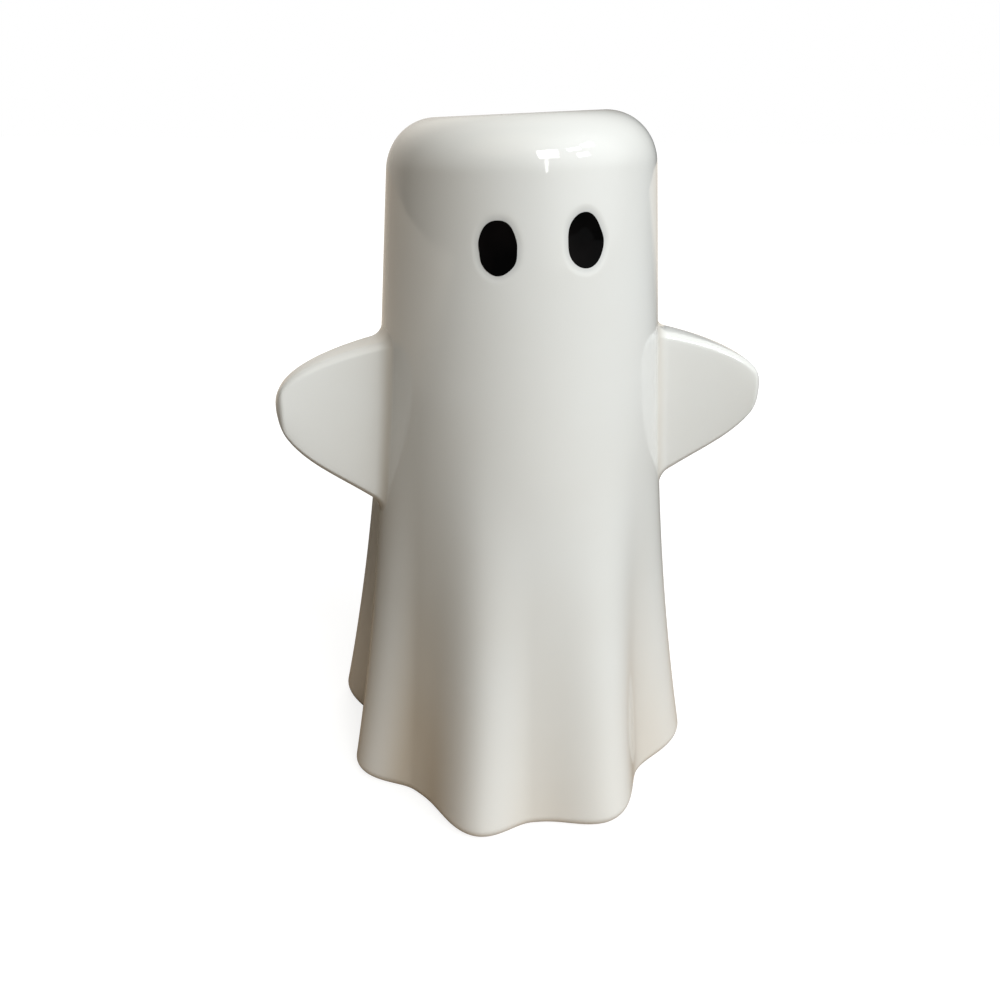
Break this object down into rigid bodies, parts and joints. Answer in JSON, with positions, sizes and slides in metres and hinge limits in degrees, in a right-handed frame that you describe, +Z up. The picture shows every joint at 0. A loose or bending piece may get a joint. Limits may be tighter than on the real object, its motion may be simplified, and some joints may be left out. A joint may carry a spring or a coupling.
{
  "type": "ceramic ghost figure",
  "caption": "Hollow glazed ceramic ghost with a flat-topped head, oval black eyes, fin-shaped arms and a skirt in soft folds, standing on a flat base as a seasonal shelf decoration.",
  "frame": {"origin": "where the robe's axis meets the flat base that the figure stands on", "axes": "+Z up along the robe, -Y the way the face looks, +X to the right as the face is seen"},
  "size_m": [0.1252, 0.1015, 0.1761],
  "materials": {
    "white_glaze": "gloss, slightly warm white over a white casting",
    "black_glaze": "gloss"
  },
  "bodies": {
    "root": {"body_shell": "white_glaze", "left_arm": "white_glaze", "right_arm": "white_glaze", "left_eye": "black_glaze", "right_eye": "black_glaze"}
  },
  "joints": []
}
